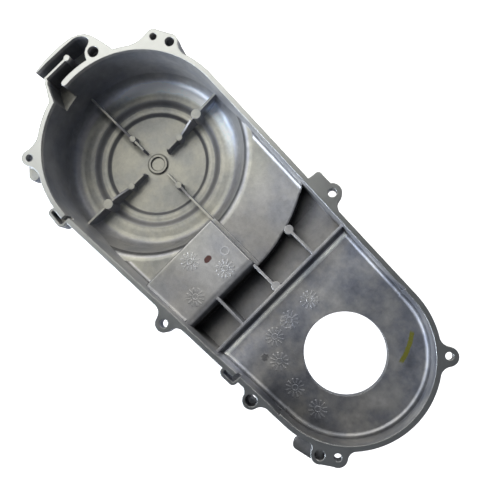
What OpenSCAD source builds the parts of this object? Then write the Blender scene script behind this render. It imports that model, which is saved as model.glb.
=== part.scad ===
// Scooter variator cover, one aluminium die casting.
// It lies on its outer face, open side up. The origin is on the axis of the big
// clutch opening at the clutch floor. +X runs from the variator bowl to the clutch
// end, +Z points out of the open side. Depths are measured down from the joint face.

/* [Chambers] */
// distance from the variator axis to the clutch axis
shaft_distance = 268; // [262:1:276]
// inside radius of the variator bowl at the joint face
variator_r = 91; // [88.5:0.5:93]
// inside radius of the clutch chamber at the joint face
clutch_r = 74.5; // [72:0.5:77]
// radius of the big round opening in the clutch floor
opening_r = 37.6; // [30:0.2:42]

/* [Depths] */
// joint face to the clutch floor
clutch_depth = 30; // [27:0.5:33]
// joint face to the top of the cross wall
wall_top_depth = 17; // [14:0.5:18]
// joint face to the raised panel beside the bowl
panel_depth = 18; // [17:0.5:22]
// joint face to the belt shelf around the bowl
shelf_depth = 36; // [33:0.5:39]
// joint face to the floor of the three pockets
pocket_depth = 45; // [42:0.5:48]
// joint face to the disc at the middle of the bowl
bowl_depth = 77; // [73:0.5:80]
// joint face to the floor of the air duct
duct_depth = 28; // [22:0.5:34]

/* [Walls] */
// thickness of the side walls
wall_t = 3.2; // [2.6:0.1:4]
// thickness of the floors
floor_t = 3.5; // [3:0.1:4.5]
// width of the joint face around the rim
rim_w = 4.7; // [4.2:0.1:5.4]
// height of the thicker band under the joint face
rim_h = 9; // [6:0.5:12]
// thickness of the cross wall and of the pocket ribs
web_t = 2.5; // [2:0.1:3.2]
// thickness of the four bowl ribs
rib_t = 2.4; // [2:0.1:3.2]

/* [Bowl floor] */
// radius of the flat disc in the middle
disc_r = 50.5; // [46:0.5:52]
// fillet between the bowl floor and its wall
bowl_fillet = 12; // [10:0.5:14]
// steepness of the ramp up to the shelf, in degrees
ramp_angle = 72; // [68:1:74]
// radius of the shelf's arc edge about the variator axis
arc_r = 156; // [153:0.5:158]

/* [Bolt holes] */
// radius of the small clearance holes
small_hole_r = 3.4; // [3:0.1:3.8]
// radius of the two middle clearance holes
mid_hole_r = 3.9; // [3.5:0.1:4.2]
// radius of the two long clearance holes
long_hole_r = 4.4; // [4:0.1:4.7]
// radius of the two dowel bores
dowel_r = 5.3; // [5:0.1:5.8]
// depth of the dowel bores
dowel_depth = 12; // [8:0.5:16]
// length of the four long bosses
boss_length = 45; // [42:0.5:48]
// thickness of the bolt lugs
lug_t = 13.5; // [10:0.5:15]

/* [Hidden] */
$fn = 96;
va = [-shaft_distance, 0];
taper = asin((variator_r - clutch_r) / shaft_distance);
side_len = shaft_distance * cos(taper);
vo = variator_r + rim_w;
co = clutch_r + rim_w;
ridge_depth = bowl_depth - 2.5;
annulus_depth = bowl_depth - 6;
annulus_r = variator_r - 13.5;
cross_x = -81;
panel_x = -172.5;
drop_x = -113;
web_x = cross_x - web_t;
skin = panel_depth + floor_t;
nip = 0.12;
slack = 0.02;

function polar(r, a) = [r * cos(a), r * sin(a)];
function ear_angle(ro, d, r, f) =
    acos((d * d + pow(ro + f - nip, 2) - pow(r + f, 2)) / (2 * d * (ro + f - nip)));

// a strip with round ends
module capsule(p, q, r) {
    d = q - p;
    n = norm(d);
    translate(p) circle(r);
    translate(q) circle(r);
    translate(p) rotate(atan2(d[1], d[0])) translate([0, slack - r]) square([n, 2 * (r - slack)]);
}

// frames along the two straight sides: x runs from the bowl to the clutch end and
// the inside of the wall is the line y = variator_r
module upper_side() {
    translate(va) rotate(-taper) children();
}
module lower_side() {
    mirror([0, 1, 0]) upper_side() children();
}

// plan of both chambers, grown outwards by g
module plan(g = 0) {
    translate(va) circle(variator_r + g);
    circle(clutch_r + g);
    upper_side() translate([0, -60]) square([side_len, variator_r + g + 60 - slack]);
    lower_side() translate([0, -60]) square([side_len, variator_r + g + 60 - slack]);
}

// upright slab between two depths
module layer(top, bottom) {
    translate([0, 0, -bottom]) linear_extrude(bottom - top) children();
}

// bolt lugs

// lug on the rim about an axis, with a hollow flank of radius f1 and f2 each side
module round_ear(ro, d, a, r, f1, f2) {
    a1 = a + ear_angle(ro, d, r, f1);
    a2 = a - ear_angle(ro, d, r, f2);
    difference() {
        polygon([polar(ro - 3, a1), polar(ro + f1, a1), polar(d, a),
                 polar(ro + f2, a2), polar(ro - 3, a2)]);
        translate(polar(ro + f1 - nip, a1)) circle(f1);
        translate(polar(ro + f2 - nip, a2)) circle(f2);
    }
    translate(polar(d, a)) circle(r);
}

// the same on a straight side, x along it and off from the inside of the wall
module side_ear(x, off, r, f1, f2) {
    y = variator_r + rim_w;
    h = off - rim_w;
    d1 = sqrt(pow(r + f1, 2) - pow(f1 - nip - h, 2));
    d2 = sqrt(pow(r + f2, 2) - pow(f2 - nip - h, 2));
    difference() {
        polygon([[x - d1, y - 3], [x - d1, y + f1], [x, variator_r + off],
                 [x + d2, y + f2], [x + d2, y - 3]]);
        translate([x - d1, y + f1 - nip]) circle(f1);
        translate([x + d2, y + f2 - nip]) circle(f2);
    }
    translate([x, variator_r + off]) circle(r);
}

// hole positions, about the axis they belong to or along a straight side
A = polar(variator_r + 9.8, 160);
B = polar(variator_r + 12.9, 126.4);
C = polar(variator_r + 10.8, 117.1);
D = polar(variator_r + 11.9, 230);
I = polar(clutch_r + 11.2, -60.6);
J = polar(clutch_r + 9.8, -50.4);
K = polar(clutch_r + 10.4, 45.9);
F = [130, 11.4];
H = [232, 8.4];
L = [155, 11.4];

module lug_plans() {
    translate(va) {
        round_ear(vo, norm(B), 126.4, 7.6, 30, 9);
        round_ear(vo, norm(C), 117.1, 7.9, 9, 12);
        polygon([B + polar(7.3, 114), C + polar(7.6, 114), C, polar(vo - 3, 118), polar(vo - 3, 126), B]);
        round_ear(vo, norm(D), 230, 7.7, 16, 22);
    }
    round_ear(co, norm(J), -50.4, 8.6, 8, 12);
    round_ear(co, norm(I), -60.6, 7.7, 10, 5);
    polygon([I + polar(7.4, -50), J + polar(8.3, -50), J, polar(co - 3, -50), polar(co - 3, -60), I]);
    round_ear(co, norm(K) - 0.5, 45.5, 8.4, 10, 10);
    lower_side() side_ear(F[0], F[1], 8, 9.5, 10);
    lower_side() side_ear(H[0], H[1], 7.9, 7, 9);
    upper_side() side_ear(L[0], L[1], 8.6, 6, 10);
    upper_side() {
        translate([136, variator_r + 12.2]) circle(4);
        polygon([[131, variator_r], [132.2, variator_r + 12.2], [136, variator_r + 16],
                 [150, variator_r + 16.2], [L[0], variator_r + L[1]], [L[0], variator_r]]);
    }
}

module lugs() {
    intersection() {
        layer(0, lug_t) lug_plans();
        difference() {
            translate([-500, -200, -60]) cube([700, 400, 60]);
            // the lug at the clutch end is thinner than the rest
            translate([40, 40, -60]) cube([60, 60, 60 - 6.5]);
        }
    }
    // tabs a step below the joint face, beside two lugs
    layer(9, 20) {
        translate(va) capsule(D, polar(variator_r + 13.4, 238.3), 5);
        translate(va)
            polygon([D, polar(variator_r, 231), polar(variator_r, 238.6), polar(variator_r + 17, 239.4)]);
        translate([24.5, -clutch_r - 8.3]) circle(5);
        polygon([[19.5, -clutch_r - 8], [23, -clutch_r + 6], I, I + [-2, -9.3], [26.5, -clutch_r - 12.9]]);
    }
}

module long_bosses() {
    layer(0, boss_length) {
        translate(va + A) circle(8.6);
        translate(va + C) circle(7.5);
        lower_side() translate([H[0], variator_r + H[1]]) circle(7.5);
        translate(I) circle(7.3);
        // webs that join them to the chamber walls
        translate(va) capsule(A, polar(variator_r + 1, 160), 4);
        translate(va) capsule(C, polar(variator_r + 1, 117.1), 4);
        lower_side() capsule([H[0], variator_r + H[1]], [H[0], variator_r + 1], 4);
        capsule(I, polar(clutch_r + 1, -60.6), 4);
    }
}

// air duct and drains

// outline of the air duct's box, about the variator axis
module duct_plan() {
    polygon([[-122.6, -18.2], [-124.1, -6], [-124.2, 8], [-123.2, 20], [-121.1, 30], [-117.4, 36.8],
             [-113.2, 41.2], [-107, 44.4], [-95.1, 47], [-84.7, 48.8], [-70, 45], [-75, -30],
             [-91.5, -28.5], [-94.2, -26.6], [-102.4, -21.9], [-107.1, -19.6], [-109.4, -16.6]]);
}

// way through the duct: in at the mouth, round the baffle and into the bowl
module duct_way() {
    difference() {
        polygon([[-121, -26], [-121.2, -3], [-119.9, 17.6], [-118.4, 30.2], [-116.8, 34], [-114.3, 37],
                 [-110.8, 39.3], [-107.4, 39.7], [-105.5, 38.6], [-103.8, 35.8], [-102.6, 31.6],
                 [-100.2, 28.2], [-97.2, 26], [-88, 22], [-87.6, -25.6], [-99.4, -20.4], [-105, -17.8],
                 [-107, -15.4], [-112.2, -14], [-112, -26]]);
        // baffle with a round head
        capsule([-110.9, -18], [-109.9, 12.7], 1.3);
        translate([-109.9, 12.7]) circle(3.1);
        // stub of the bowl wall, with a round end
        intersection() {
            difference() {
                circle(variator_r + 5.8);
                circle(variator_r - 4);
            }
            polygon([[0, 0], polar(140, 158), polar(140, 171), polar(140, 183.5)]);
        }
        translate(polar(variator_r + 2.95, 183.5)) circle(2.8);
    }
}

// small drain: a pocket behind a stub of the rim, open to the chamber at g
module drain_plan(p, q, w) {
    capsule(p, q, w + 2.7);
}
module drain_way(p, q, g, w) {
    capsule(p, q, w);
    polygon([q + [-w, 0], q + [w, 0], g + [w, 0], g + [-w, 0]]);
}
bowl_drain = [[-10.6, -variator_r - 6.7], [0.6, -variator_r - 7.5], [1.2, -variator_r + 3]];
side_drain = [[199.6, variator_r + 5.9], [208.6, variator_r + 5.9], [210.2, variator_r - 3]];

// outer body

module bowl_shell() {
    r = variator_r + wall_t;
    b = bowl_depth + floor_t;
    c = annulus_depth + floor_t;
    rotate_extrude() {
        polygon([[0, 0], [0, -b], [disc_r + 11, -b], [disc_r + 20, -c], [r - 16, -c], [r - 16, -c + 16],
                 [r, -c + 16], [r, 0]]);
        translate([r - 16, -c + 16]) circle(16);
    }
}

// skin under the ramp from the bowl to the shelf
module ramp_shell() {
    s = shelf_depth + floor_t;
    c = annulus_depth + floor_t;
    rotate_extrude() polygon([[0, 0], [116, 0], [116, -s], [annulus_r + 26.5, -s],
                              [annulus_r + 16, -c + 11.5], [annulus_r + 9, -c + 2.5], [annulus_r + 3, -c],
                              [0, -c]]);
}

module outer_body() {
    layer(0, rim_h) plan(rim_w);
    translate(va) bowl_shell();
    intersection() {
        layer(-1, 120) plan(wall_t);
        translate(va) ramp_shell();
    }
    intersection() {
        layer(-1, 120) plan(wall_t);
        union() {
            // shelf on the upper side
            translate([va[0], -floor_t, -shelf_depth - floor_t])
                cube([-va[0] - 90, 130, shelf_depth + floor_t]);
            // shelf on the lower side
            translate([va[0], -130, -shelf_depth - floor_t])
                cube([panel_x + floor_t - va[0], 130, shelf_depth + floor_t]);
            // raised panel, hollow underneath
            translate([panel_x, -130, -skin]) cube([60, 130, skin]);
            // pockets
            translate([0, 0, -pocket_depth - floor_t]) linear_extrude(pocket_depth + floor_t) difference() {
                translate([drop_x - floor_t, -130]) square([cross_x + wall_t - drop_x + floor_t, 260]);
                translate(va) intersection() {
                    circle(arc_r - floor_t);
                    translate([0, 0.01]) square([300, 300]);
                }
            }
            // clutch chamber
            translate([cross_x - 1, -130, -clutch_depth - 4]) cube([250, 260, clutch_depth + 4]);
        }
    }
    // collar under the big opening
    layer(clutch_depth, clutch_depth + 12) circle(opening_r + 6);
}

// inside

// floor of the bowl from the middle outwards, up to radius r, open to the top
module floor_steps() {
    polygon([[0, 1], [0, -bowl_depth], [disc_r, -bowl_depth], [disc_r + 4, -ridge_depth],
             [disc_r + 10, -ridge_depth], [disc_r + 17, -annulus_depth], [annulus_r, -annulus_depth],
             [annulus_r, 1]]);
}

// section of the ramp and the shelf, out to radius r
crest_f = 10;
ramp_n = [sin(ramp_angle), -cos(ramp_angle)];
foot = [annulus_r, -annulus_depth + bowl_fillet];
crest_y = -shelf_depth - crest_f;
run = (crest_y - foot[1] + (crest_f + bowl_fillet) * cos(ramp_angle)) / tan(ramp_angle);
crest = [foot[0] + (crest_f + bowl_fillet) * sin(ramp_angle) + run, crest_y];
t1 = foot + (bowl_fillet - 0.1) * ramp_n;
t2 = crest - (crest_f - 0.1) * ramp_n;
module ramp_section(r, edge_f) {
    floor_steps();
    translate(foot) circle(bowl_fillet);
    difference() {
        polygon([[foot[0] - 1, 1], [foot[0] - 1, foot[1]], foot, t1, t2, crest, [crest[0], -shelf_depth],
                 [r - edge_f, -shelf_depth], [r - edge_f, -shelf_depth - edge_f], [r, -shelf_depth - edge_f],
                 [r + 3, -shelf_depth - edge_f], [r + 3, 1]]);
        translate(crest + [0, 0.05]) circle(crest_f);
        translate([r - edge_f, -shelf_depth - edge_f]) circle(edge_f);
    }
}

// space inside a straight side wall, with a fillet f where the wall meets a floor
module side_space(d, f, deep, draft = slack) {
    w = variator_r - draft;
    translate([-60, 0, 0]) rotate([90, 0, 90]) linear_extrude(side_len + 60) {
        translate([-20, -d + f]) square([w + 20, d - f + 2]);
        translate([-20, -deep]) square([w + 20 - f, deep + 2]);
        translate([w - f, -d + f]) circle(f);
    }
}

// the bowl and the shelf beyond it, between two radii
module ramp_ring(r1, r2) {
    translate(va) rotate_extrude() intersection() {
        ramp_section(arc_r, 2.5);
        translate([r1, -100]) square([r2 - r1, 101]);
    }
}

module bowl_core() {
    intersection() {
        ramp_ring(0, 94);
        layer(-1, 100) plan();
    }
}

// the shelf on one side: its ramp, then the flat with a fillet at the side wall
crest_r = 105.5;
module shelf_ramp() {
    intersection() {
        ramp_ring(92, crest_r);
        layer(-1, 100) plan();
        children();
    }
}
module shelf_flat(f) {
    intersection() {
        ramp_ring(crest_r - 1, 160);
        upper_side() side_space(shelf_depth, f, 100);
        children();
    }
}

// the panel's long edge, round on top and filleted at the shelf
module upper_bounds() {
    translate([va[0], 0, 0]) rotate([90, 0, 90]) linear_extrude(200) difference() {
        polygon([[3.5, -100], [3.5, -shelf_depth], [3.5, -shelf_depth + 3.5], [0, -shelf_depth + 3.5],
                 [0, -panel_depth - 2], [-2, -panel_depth - 2], [-2, 1], [130, 1], [130, -100]]);
        translate([-2, -panel_depth - 2]) circle(2);
    }
}

// the panel's short edge, round on top, on the side that is mirrored
module lower_bounds() {
    translate([0, 200, 0]) rotate([90, 0, 0]) linear_extrude(200) difference() {
        polygon([[va[0], 1], [va[0], -100], [panel_x, -100], [panel_x, -panel_depth - 2],
                 [panel_x + 2, -panel_depth - 2], [panel_x + 2, 1]]);
        translate([panel_x + 2, -panel_depth - 2]) circle(2);
    }
}

module panel_space() {
    intersection() {
        lower_side() side_space(panel_depth, 3, panel_depth);
        translate([panel_x + 1.9, -120, -60]) cube([drop_x - panel_x, 118.2, 62]);
    }
}

// pockets on the lower side, with the panel's edge rolling over into them
module lower_pockets() {
    f = 9;
    intersection() {
        layer(-1, 100) plan();
        rotate([90, 0, 0]) linear_extrude(200) difference() {
            polygon([[drop_x - f, 1], [drop_x - f, -panel_depth - f], [drop_x, -panel_depth - f],
                     [drop_x, -pocket_depth], [web_x, -pocket_depth], [web_x, 1]]);
            translate([drop_x - f, -panel_depth - f]) circle(f);
        }
    }
}

module upper_pocket() {
    intersection() {
        layer(-1, pocket_depth) plan();
        layer(-1, pocket_depth) difference() {
            translate([-140, -1]) square([140 + web_x, 130]);
            translate(va) circle(arc_r - 0.05);
        }
    }
}

module clutch_space() {
    layer(-1, clutch_depth) difference() {
        plan();
        translate([-500, -200]) square([500 + cross_x, 400]);
    }
}

// fillet in a corner: the wall stands at x = 0 and the floor lies at y = 0
module bead(f) {
    difference() {
        translate([-f, -1]) square([f + 1, f + 1]);
        translate([0.15 - f, f - 0.15]) circle(f);
    }
}

// fillets along the foot of the clutch chamber's walls
side_start = (cross_x - 0.8 - va[0] - variator_r * sin(taper)) / cos(taper);
module clutch_side_fillet() {
    upper_side() translate([side_start, 0, -clutch_depth]) rotate([90, 0, 90])
        linear_extrude(side_len + 2 - side_start) translate([variator_r - slack, 0]) bead(6);
}
module clutch_fillets() {
    rotate([0, 0, -92]) rotate_extrude(angle = 184) translate([clutch_r, -clutch_depth]) bead(6.5);
    clutch_side_fillet();
    mirror([0, 1, 0]) clutch_side_fillet();
    intersection() {
        translate([cross_x, 100, -clutch_depth]) rotate([90, 0, 0]) linear_extrude(200)
            mirror([1, 0]) bead(9.5);
        layer(clutch_depth - 12, clutch_depth + 2) plan(1.6);
    }
}

// ribs and bosses

// one rib of the bowl floor, from the hub outwards along +X
module bowl_rib(r_end) {
    d = bowl_depth;
    translate([0, rib_t / 2, 0]) rotate([90, 0, 0]) linear_extrude(rib_t)
        polygon([[15.5, -d - 1], [15.8, -d + 5], [18, -d + 11.2], [38, -d + 12], [55, -d + 22],
                 [r_end, -d + 25], [r_end, -annulus_depth - 1]]);
    translate([35, 0, -d - 1]) cylinder(h = 13.2, r = 3.6);
}

module bowl_details() {
    d = bowl_depth;
    translate([0, 0, -d - 1]) difference() {
        cylinder(h = 3, r = 10);
        cylinder(h = 4, r = 7.4);
    }
    for (a = [0, 90, 180, 270])
        rotate([0, 0, a]) bowl_rib(a == 0 ? 97 : variator_r + 1);
    for (s = [-1, 1])
        translate([0, s * 63.5, -d + 1]) cylinder(h = 22.6, r = 5.2);
}

module pocket_ribs() {
    layer(panel_depth, pocket_depth + 1) {
        translate([drop_x - 1, 44 - web_t / 2]) square([web_x - drop_x + 2, web_t]);
        translate([drop_x - 1, -web_t]) square([web_x - drop_x + 2, web_t]);
        translate([drop_x - 4, -46 - web_t / 2]) square([web_x - drop_x + 5, web_t]);
        translate([drop_x - 0.8, 44]) circle(4.3);
        translate([web_x - 2.5, -0.6]) circle(4.3);
    }
}

// the whole casting

module holes() {
    translate([0, 0, -60]) {
        translate(va) {
            translate([B[0], B[1], 60 - 12]) cylinder(h = 20, r = small_hole_r);
            translate(D) cylinder(h = 70, r = small_hole_r);
            translate(C) cylinder(h = 70, r = long_hole_r);
            translate(A) cylinder(h = 70, r = long_hole_r);
            translate([A[0], A[1], 60 - dowel_depth]) cylinder(h = 20, r = dowel_r);
        }
        translate(I) cylinder(h = 70, r = long_hole_r);
        translate(J) cylinder(h = 70, r = small_hole_r);
        translate(K) cylinder(h = 70, r = small_hole_r);
        lower_side() translate([F[0], variator_r + F[1], 0]) cylinder(h = 70, r = mid_hole_r);
        upper_side() translate([L[0], variator_r + L[1], 0]) cylinder(h = 70, r = mid_hole_r);
        lower_side() translate([H[0], variator_r + H[1], 0]) cylinder(h = 70, r = long_hole_r);
        lower_side() translate([H[0], variator_r + H[1], 60 - dowel_depth]) cylinder(h = 20, r = dowel_r);
    }
    translate([0, 0, -clutch_depth - 20]) cylinder(h = 40, r = opening_r);
}

// the closed blank, with everything that stands out of the walls
module blank() {
    outer_body();
    lugs();
    long_bosses();
    translate(va) layer(0, duct_depth + floor_t) duct_plan();
    translate(va) layer(0, 17) drain_plan(bowl_drain[0], bowl_drain[1], 2.1);
    lower_side() layer(0, 17) drain_plan(side_drain[0], side_drain[1], 2);
}

// hollowed from the joint face down, one chamber after the other
module open_blank() {
    difference() {
        blank();
        layer(-1, wall_top_depth) plan();
    }
}
module with_bowl() {
    difference() {
        open_blank();
        bowl_core();
    }
}
module with_upper_shelf() {
    difference() {
        difference() {
            with_bowl();
            shelf_ramp() upper_bounds();
        }
        shelf_flat(6) upper_bounds();
    }
}
module with_shelves() {
    difference() {
        difference() {
            difference() {
                with_upper_shelf();
                mirror([0, 1, 0]) shelf_ramp() lower_bounds();
            }
            mirror([0, 1, 0]) shelf_flat(5) lower_bounds();
        }
        panel_space();
    }
}
module with_pockets() {
    difference() {
        difference() {
            with_shelves();
            lower_pockets();
        }
        upper_pocket();
    }
}
module with_clutch() {
    difference() {
        with_pockets();
        clutch_space();
    }
}
module with_ducts() {
    difference() {
        with_clutch();
        translate(va) layer(-1, duct_depth) duct_way();
        translate(va) layer(-1, 13) drain_way(bowl_drain[0], bowl_drain[1], bowl_drain[2], 2.1);
        lower_side() layer(-1, 13) drain_way(side_drain[0], side_drain[1], side_drain[2], 2);
    }
}

module cover() {
    color([0.62, 0.63, 0.64]) translate([0, 0, clutch_depth]) difference() {
        union() {
            with_ducts();
            translate(va) bowl_details();
            pocket_ribs();
            clutch_fillets();
        }
        holes();
    }
}

cover();
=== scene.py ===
"""Scooter variator cover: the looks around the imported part, and the photograph's view of it."""

import math

import bmesh
import bpy
from mathutils import Matrix, Vector


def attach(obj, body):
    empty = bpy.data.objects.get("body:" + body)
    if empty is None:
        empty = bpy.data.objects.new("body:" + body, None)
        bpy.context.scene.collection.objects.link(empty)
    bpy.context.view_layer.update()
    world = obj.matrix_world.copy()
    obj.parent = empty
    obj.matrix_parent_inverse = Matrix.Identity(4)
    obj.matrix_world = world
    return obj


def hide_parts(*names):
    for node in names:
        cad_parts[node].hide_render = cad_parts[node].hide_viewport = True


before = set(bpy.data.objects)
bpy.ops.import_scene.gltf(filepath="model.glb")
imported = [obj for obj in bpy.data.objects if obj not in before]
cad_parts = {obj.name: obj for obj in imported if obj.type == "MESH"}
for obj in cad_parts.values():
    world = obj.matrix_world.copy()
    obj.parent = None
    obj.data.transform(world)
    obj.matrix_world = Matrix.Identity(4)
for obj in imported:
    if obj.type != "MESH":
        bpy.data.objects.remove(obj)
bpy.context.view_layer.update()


# The casting. It is die-cast aluminium in one piece. Its floors and walls are satin with a
# fine grain and soft patches, and the joint face is machined bright.
class Val:
    """A shader value. Sums and products of Vals become Math nodes."""

    def __init__(self, tree, socket):
        self.tree, self.socket = tree, socket

    def node(self, kind, links=(), out=0, **settings):
        n = self.tree.nodes.new(kind)
        for key, value in settings.items():
            setattr(n, key, value)
        for key, value in dict(links).items():
            if isinstance(value, Val):
                self.tree.links.new(value.socket, n.inputs[key])
            else:
                n.inputs[key].default_value = value
        return Val(self.tree, n.outputs[out])

    def op(self, name, *others):
        return self.node("ShaderNodeMath", dict(enumerate((self,) + others)), operation=name)

    def __add__(self, other):
        return self.op("ADD", other)

    def __sub__(self, other):
        return self.op("SUBTRACT", other)

    def __rsub__(self, other):
        return self.node("ShaderNodeMath", {0: other, 1: self}, operation="SUBTRACT")

    def __mul__(self, other):
        return self.op("MULTIPLY", other)

    def __truediv__(self, other):
        return self.op("DIVIDE", other)

    __radd__, __rmul__ = __add__, __mul__

    def step(self, low, high):
        """0 below low, 1 above high, smooth between."""
        ends = {0: self, 1: low, 2: high, 3: 0.0, 4: 1.0}
        return self.node("ShaderNodeMapRange", ends, interpolation_type="SMOOTHSTEP")

    def fade(self, low, high):
        """1 below low, 0 above high, smooth between."""
        return 1.0 - self.step(low, high)

    def band(self, low, full, drop, high):
        """1 from full to drop, 0 below low and above high, smooth between."""
        return self.step(low, full) * self.fade(drop, high)

    def parts(self):
        """The X, Y and Z of a vector."""
        split = self.node("ShaderNodeSeparateXYZ", {0: self}).socket.node
        return [Val(self.tree, output) for output in split.outputs]

    def over(self, under, colour):
        """The colour laid over the one under it, where this value is 1."""
        return self.node("ShaderNodeMix", {0: self, 6: under, 7: colour}, data_type="RGBA", out=2)


aluminium = bpy.data.materials.new("cast_aluminium")
aluminium.use_nodes = True
tree = aluminium.node_tree
shader = tree.nodes["Principled BSDF"]
metres = Val(tree, tree.nodes.new("ShaderNodeTexCoord").outputs["Object"])
place = metres.node("ShaderNodeVectorMath", {0: metres, 3: 1000.0}, operation="SCALE")
x, y, z = place.parts()
up = place.node("ShaderNodeNewGeometry", out=3).parts()[2]
machined = z.step(29.6, 29.85) * up.step(0.9, 0.98)


def noise(scale, detail, roughness=0.5):
    """A soft random pattern, scale of its waves to the millimetre."""
    settings = {"Vector": place, "Scale": scale, "Detail": detail, "Roughness": roughness}
    return place.node("ShaderNodeTexNoise", settings)


# Soft patches of tone from the die, blotches in them, and the grain of the cast skin.
patches = noise(0.03, 5.0, 0.6)
blotches = noise(0.16, 6.0, 0.65)
grain = noise(1.3, 3.0, 0.7)
wobble = noise(0.5, 3.0)
tone = 0.52 + (patches - 0.5) * 0.46 + (blotches - 0.5) * 0.34 + (grain - 0.5) * 0.16

# Distance from the bowl's axis, and how far a place lies inside a pocket from the edge of
# the shelf or the panel. Pockets and duct get painted shade, in the pockets a painted shadow
# blackest at that edge.
bowl_x, shelf_edge_r, panel_edge_x = -268.0, 156.0, -113.0
bx = x - bowl_x
bowl_r = (bx * bx + y * y).op("SQRT")
upper_side = y.step(-3.0, 0.0)
inset = (bowl_r - shelf_edge_r) * upper_side + (x - panel_edge_x) * (1.0 - upper_side)
pocket = inset.step(-3.0, 0.5) * x.fade(-84.0, -82.5) * z.fade(4.0, 11.0)
tone = tone * (1.0 - pocket * (0.96 - inset.step(0.0, 27.0) * 0.9))
duct = x.fade(-362.0, -357.5) * z.fade(22.0, 29.0)
tone = tone * (1.0 - duct * 0.5)

# The clutch floor is more patchy than the rest, and painted shade darkens it towards its far end.
clutch = x.step(-82.0, -78.0)
tone = tone * (1.0 - x.step(-75.0, -5.0) * 0.36) * (1.0 + (patches - 0.5) * clutch * 1.5)

# Fillets get a painted highlight where they turn up from a floor, and painted shade higher up.
edges = place.node("ShaderNodeBevel", {"Radius": 0.0011}, samples=6)
soft_x, soft_y, soft_up = edges.parts()
below_rim = z.fade(24.0, 27.0)
in_bowl = bowl_r.fade(92.0, 95.0) * z.fade(-34.0, -28.0)
painted_fillet_highlight = soft_up.band(0.80, 0.86, 0.91, 0.97) * below_rim * (1.0 - in_bowl)
painted_fillet_highlight = painted_fillet_highlight * (0.3 + x.step(-100.0, -85.0) * 0.4)
slope = soft_up.band(0.25, 0.45, 0.70, 0.82) * below_rim * (1.0 - in_bowl)

# Painted shade darkens the two steps of the bowl floor, with a painted highlight line outside
# each. The bowl's big fillet has a bright, bluish painted highlight on its +Y side, and one rib
# has a painted shadow along its -Y side.
step_in = bowl_r.band(49.8, 52.0, 52.8, 55.4)
step_out = bowl_r.band(59.8, 63.4, 64.2, 68.4)
steps = (step_in + step_out) * in_bowl * soft_up.step(0.7, 0.8) * (0.55 + blotches * 0.8)
lines = bowl_r.band(55.2, 56.2, 56.8, 58.6) + bowl_r.band(68.0, 69.4, 70.2, 73.0)
steps = steps - lines * in_bowl * soft_up.step(0.97, 0.99) * 0.35
arc_side = ((y * 0.93 - bx * 0.36) / bowl_r).step(0.3, 0.8)
arc = bowl_r.band(71.0, 78.0, 83.0, 89.5) * in_bowl * arc_side
painted_rib_shadow = y.band(-9.0, -4.0, -3.0, -0.5) * bx.fade(-20.0, -14.0)
painted_rib_shadow = painted_rib_shadow * in_bowl * soft_up.step(0.5, 0.8)
# Painted shade in two dark rings round the hub's raised ring.
hub = bowl_r.band(6.2, 7.0, 7.4, 8.0) + bowl_r.band(9.4, 9.9, 11.0, 12.0)

# Painted shade darkens walls that face +X and +Y, and a painted highlight runs as a bright line
# along the foot of the cross wall.
wall = soft_up.fade(0.6, 0.9) * (soft_x * 0.8 + soft_y * 0.35).step(0.0, 0.75) * below_rim
glint = x.band(-78.0, -76.2, -74.6, -72.8) * z.fade(3.0, 6.0) * soft_up.step(0.6, 0.8)
tone = tone * (1.0 + painted_fillet_highlight - slope * 0.6) * (1.0 - wall * 0.42) * (1.0 - steps * 0.55)
tone = tone * (1.0 + arc * 1.3 + glint * 3.4) * (1.0 - hub * 0.6) * (1.0 - painted_rib_shadow * 0.45)

# Painted shade darkens the clutch floor at its lower end and painted light brightens it beside
# the cross wall, and the tabs outside the flange are dark.
lower_end = y.fade(-66.0, -44.0) * x.step(-45.0, -20.0) * below_rim
beside_wall = x.band(-79.0, -75.0, -66.0, -50.0) * y.fade(-50.0, -20.0)
tabs = y.fade(-86.0, -80.0) * x.step(-60.0, -40.0)
tone = tone * (1.0 - lower_end * 0.36) * (1.0 + beside_wall * 0.6) * (1.0 - tabs * 0.4)


def from_axis(cx, cy):
    """Distance in millimetres from an upright axis, and the angle about it."""
    dx, dy = x - cx, y - cy
    return (dx * dx + dy * dy).op("SQRT"), dy.op("ARCTAN2", dx)


# Nine date stamps: twelve short raised petals round a small raised ring.
floor_only = up.step(0.9, 0.97) * z.fade(28.0, 29.0)
stamps = None
for cx, cy, turn in (
    (-158.2, -40.3, 0.1),
    (-130.2, -22.0, 0.5),
    (-131.4, -60.1, 0.9),
    (-56.4, 12.1, 0.3),
    (-56.2, -14.4, 1.2),
    (-55.0, -34.8, 0.0),
    (-36.3, -47.5, 0.7),
    (-9.9, -54.0, 0.2),
    (17.6, -52.8, 1.0),
):
    r, angle = from_axis(cx, cy)
    petals = (angle * 12.0 + turn + (blotches - 0.5) * 5.0).op("COSINE").step(0.0, 0.7)
    petals = petals * r.band(3.6, 4.2, 8.0, 9.0)
    stamp = r.band(1.7, 2.1, 2.9, 3.4).op("MAXIMUM", petals)
    stamps = stamp if stamps is None else stamps.op("MAXIMUM", stamp)
stamps = stamps * floor_only

# Paint marks left by inspection: a dark red dab on the panel and a curved yellow stroke by
# the opening.
dx, dy = x + 147.9, y + 27.4
oval = (dy * dy / 19.0 + dx * dx / 8.5).op("SQRT")
dab = (oval + (wobble - 0.5) * 0.7).fade(0.85, 1.1) * floor_only
dx, dy = x - 33.7, y - 42.7
along, across = dx * 0.409 - dy * 0.913, dx * 0.913 + dy * 0.409
across = across + along * along * 0.0075 - 1.4
stroke = (across.op("ABSOLUTE") + (wobble - 0.5) * 2.2).fade(1.6, 2.5)
stroke = stroke * along.op("ABSOLUTE").fade(13.0, 16.0)
stroke = (stroke * floor_only * (0.6 + wobble * 0.8)).op("MINIMUM", 1.0)

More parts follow.
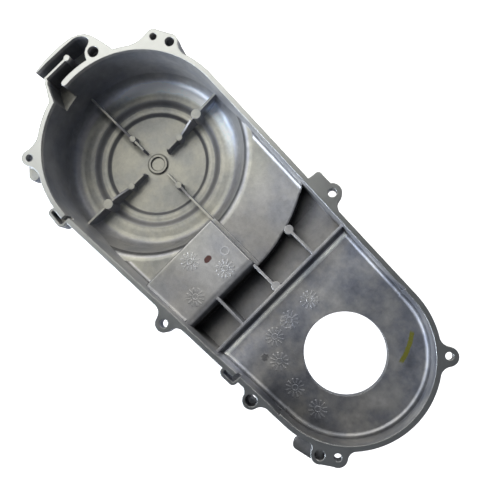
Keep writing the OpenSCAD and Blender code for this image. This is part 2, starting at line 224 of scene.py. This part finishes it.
# Rings left by the ejector pins, one on the panel and one round a stamp, a rough scab on the
# clutch floor and an oily smudge near its far side.
panel_pin = from_axis(-142.0, -10.6)[0].band(3.2, 3.6, 4.0, 4.4)
floor_pin = from_axis(-57.0, -17.5)[0].band(5.0, 5.4, 5.8, 6.2)
pin = panel_pin.op("MAXIMUM", floor_pin) * floor_only
scab = (from_axis(-48.5, -54.0)[0] + (wobble - 0.5) * 4.0).fade(2.6, 3.8) * floor_only
smudge = (from_axis(45.0, 36.0)[0] + (wobble - 0.5) * 5.0).fade(3.0, 9.0) * floor_only
tone = tone * (1.0 - smudge * 0.3)
tone = (tone + pin * 0.14 + stamps * 0.12) * (1.0 - scab * 0.45)

# The metal is a little blue in its dark patches. A painted warm tint of the key light yellows the
# bowl's upward flats, the painted wall shade and fillet highlight are tinted blue, the painted
# glint yellow.
cool = patches.fade(0.32, 0.62) * (0.5 + x.step(-90.0, -70.0) * 0.5)
cool = cool.op("MAXIMUM", smudge)
warm = x.fade(-190.0, -150.0) * soft_up.step(0.9, 0.97)
red = tone * (1.0 - cool * 0.09 - wall * 0.09 - arc * 0.08)
green = tone * (0.98 - wall * 0.05 - cool * 0.03)
blue = tone * (0.96 + cool * 0.13 + wall * 0.06 + arc * 0.12 - warm * 0.10 - glint * 0.16)
skin = place.node("ShaderNodeCombineColor", {0: red, 1: green, 2: blue})

# The joint face has painted shade along the lower side, away from the bowl's end.
painted_face_shade = y.fade(-97.0, -72.0) * x.step(-330.0, -250.0)
face = 0.465 * (1.0 - painted_face_shade * 0.26) * (0.94 + blotches * 0.12)
face = place.node("ShaderNodeCombineColor", {0: face * 0.98, 1: face, 2: face * 0.98})
colour = machined.over(skin, face)
colour = (dab * 0.95).over(colour, (0.09, 0.018, 0.012, 1.0))
colour = stroke.over(colour, (0.19, 0.185, 0.02, 1.0))
tree.links.new(colour.socket, shader.inputs["Base Color"])
rough = 0.45 + (blotches - 0.5) * 0.22 - machined * 0.10
tree.links.new(rough.socket, shader.inputs["Roughness"])
metallic = 0.6 + machined * 0.37 - dab * 0.7 - stroke * 0.5
tree.links.new(metallic.socket, shader.inputs["Metallic"])

# Relief in millimetres: the marks, and the grain of all that isn't machined.
height = stamps * 0.42 + pin * 0.12 + scab * wobble * 0.5
height = height + ((grain - 0.5) * 0.10 + (blotches - 0.5) * 0.25) * (1.0 - machined)
relief = {"Height": height, "Distance": 0.001, "Strength": 0.8, "Normal": edges}
tree.links.new(place.node("ShaderNodeBump", relief).socket, shader.inputs["Normal"])

# The shape is the CAD node's own mesh, with the ends of the four bowl ribs drawn in so that
# they stop inside the rounded foot of the bowl's wall.
joint_z, foot_r, foot_axis_r, foot_depth, skin_over = 30.0, 16.0, 78.2, 58.5, 1.2
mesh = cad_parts["cover"].data.copy()
mesh.name = "casting"
for v in mesh.vertices:
    px, py = (v.co.x - bowl_x * 0.001) * 1000.0, v.co.y * 1000.0
    depth = joint_z - v.co.z * 1000.0
    out = math.hypot(px, py)
    if 84.0 < out < 92.6 and 58.6 < depth < 72.5 and min(abs(px), abs(py)) < 1.5:
        reach = math.sqrt(max(0.0, foot_r * foot_r - (depth - foot_depth) ** 2))
        shell = foot_axis_r + reach - skin_over
        if out > shell:
            v.co.x += px * (shell / out - 1.0) * 0.001
            v.co.y += py * (shell / out - 1.0) * 0.001
mesh.materials.clear()
mesh.materials.append(aluminium)
casting = bpy.data.objects.new("casting", mesh)
bpy.context.scene.collection.objects.link(casting)
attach(casting, "root")
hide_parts("cover")

# Corner of the upper pocket, of the same cast metal, between the shelf's arc edge and the
# rest of the pocket: its floor, the wall under the arc edge and the foot of the side wall.
side_lean = math.radians(3.53)
wall_t, corner_x, far_x = 3.1, -116.4, -137.0
angles = [math.radians(13.0 + 2.2 * k) for k in range(11)]
inner, outer = (
    [(bowl_x + radius * math.cos(a), radius * math.sin(a)) for a in angles]
    for radius in (152.6, 155.95)
)


def side_y(px, off):
    """Side of the chamber at px, off millimetres outside its inner face."""
    return (91.0 + off) / math.cos(side_lean) - math.tan(side_lean) * (px - bowl_x)


floor_outline = [q for q in inner if q[1] < side_y(q[0], wall_t)]
last = floor_outline[-1][0]
floor_outline += [
    (last, side_y(last, wall_t)),
    (corner_x, side_y(corner_x, wall_t)),
    (corner_x, inner[0][1]),
]
edge_outline = [q for q in inner if q[1] < side_y(q[0], 0.5)]
edge_outline += list(reversed(outer[: len(edge_outline)]))
side_outline = [
    (far_x, side_y(far_x, 0.02)),
    (corner_x, side_y(corner_x, 0.02)),
    (corner_x, side_y(corner_x, wall_t)),
    (far_x, side_y(far_x, wall_t)),
]
bm = bmesh.new()
for outline, low_z, high_z in (
    (floor_outline, -18.5, -15.0),
    (edge_outline, -15.0, -9.45),
    (side_outline, -15.0, -9.45),
):
    loop = [bm.verts.new((px * 0.001, py * 0.001, low_z * 0.001)) for px, py in outline]
    made = bmesh.ops.extrude_face_region(bm, geom=[bm.faces.new(loop)])["geom"]
    lid = [part for part in made if isinstance(part, bmesh.types.BMVert)]
    bmesh.ops.translate(bm, verts=lid, vec=(0.0, 0.0, (high_z - low_z) * 0.001))
bmesh.ops.recalc_face_normals(bm, faces=bm.faces)
mesh = bpy.data.meshes.new("pocket_corner")
bm.to_mesh(mesh)
bm.free()
mesh.materials.append(aluminium)
corner = bpy.data.objects.new("pocket_corner", mesh)
bpy.context.scene.collection.objects.link(corner)
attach(corner, "root")

# The floor is a plain white sheet that touches the part where it would rest, square to
# the camera's line of sight.
sight = Vector((0.15718, 0.02839, 0.98716)).normalized()
lowest = min(sight.dot(v.co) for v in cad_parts["cover"].data.vertices)
bm = bmesh.new()
bmesh.ops.create_grid(bm, x_segments=1, y_segments=1, size=3.0)
tilt = Vector((0, 0, 1)).rotation_difference(sight).to_matrix().to_4x4()
settle = Matrix.Translation(sight * (lowest - 0.0002))
bmesh.ops.transform(bm, verts=bm.verts, matrix=settle @ tilt)
mesh = bpy.data.meshes.new("floor")
bm.to_mesh(mesh)
bm.free()
floor = bpy.data.objects.new("floor", mesh)
bpy.context.scene.collection.objects.link(floor)
white_sheet = bpy.data.materials.new("floor")
white_sheet.use_nodes = True
sheet = white_sheet.node_tree.nodes["Principled BSDF"]
sheet.inputs["Base Color"].default_value = (0.9, 0.9, 0.9, 1.0)
sheet.inputs["Roughness"].default_value = 0.9
sheet.inputs["Emission Color"].default_value = (1.0, 1.0, 1.0, 1.0)
rays = white_sheet.node_tree.nodes.new("ShaderNodeLightPath")
seen, glow = rays.outputs["Is Camera Ray"], sheet.inputs["Emission Strength"]
white_sheet.node_tree.links.new(seen, glow)
mesh.materials.append(white_sheet)


# Plain soft light: one large overhead box towards the bowl end, and low cool boxes round
# the table that the fillets and the walls catch.
def softbox(name, position, size, power, colour):
    """An area light of width and height size, turned to the middle of the part."""
    light = bpy.data.lights.new(name, "AREA")
    light.shape = "RECTANGLE"
    light.size, light.size_y = size
    light.energy = power
    light.color = colour
    box = bpy.data.objects.new(name, light)
    box.location = position
    aim = Vector((-0.15, 0.0, 0.0)) - Vector(position)
    box.rotation_euler = aim.to_track_quat("-Z", "Y").to_euler()
    bpy.context.scene.collection.objects.link(box)


softbox("key", (-1.05, 0.15, 1.05), (1.1, 1.1), 8.0, (1.0, 0.99, 0.93))
softbox("low_front", (-0.7, -1.25, 0.48), (1.0, 0.45), 22.0, (0.80, 0.88, 1.0))
softbox("low_back", (-0.5, 1.3, 0.42), (1.2, 0.4), 8.0, (1.0, 0.99, 0.94))

# The room round the table gives a faint cool light and is white where the camera sees it.
world = bpy.data.worlds.new("studio")
world.use_nodes = True
room = world.node_tree
faint = room.nodes["Background"]
faint.inputs["Color"].default_value = (0.86, 0.90, 1.0, 1.0)
faint.inputs["Strength"].default_value = 0.13
white = room.nodes.new("ShaderNodeBackground")
white.inputs["Color"].default_value = (1.0, 1.0, 1.0, 1.0)
seen = room.nodes.new("ShaderNodeLightPath").outputs["Is Camera Ray"]
either = room.nodes.new("ShaderNodeMixShader")
room.links.new(seen, either.inputs[0])
room.links.new(faint.outputs[0], either.inputs[1])
room.links.new(white.outputs[0], either.inputs[2])
room.links.new(either.outputs[0], room.nodes["World Output"].inputs[0])
bpy.context.scene.world = world

# The camera stands where the photograph was taken from, above the middle of the part.
cam = bpy.data.cameras.new("camera")
cam.lens = 43.2
cam.sensor_width = 36.0
camera = bpy.data.objects.new("camera", cam)
right, top = Vector((0.69983, 0.70208, -0.13162)), Vector((-0.69680, 0.71153, 0.09049))
turned = Matrix((right, top, sight)).transposed().to_4x4()
camera.matrix_world = Matrix.Translation((-0.03999, 0.02144, 0.55174)) @ turned
bpy.context.scene.collection.objects.link(camera)
scene = bpy.context.scene
scene.camera = camera
scene.render.resolution_x = scene.render.resolution_y = 500
scene.view_settings.view_transform = "Standard"
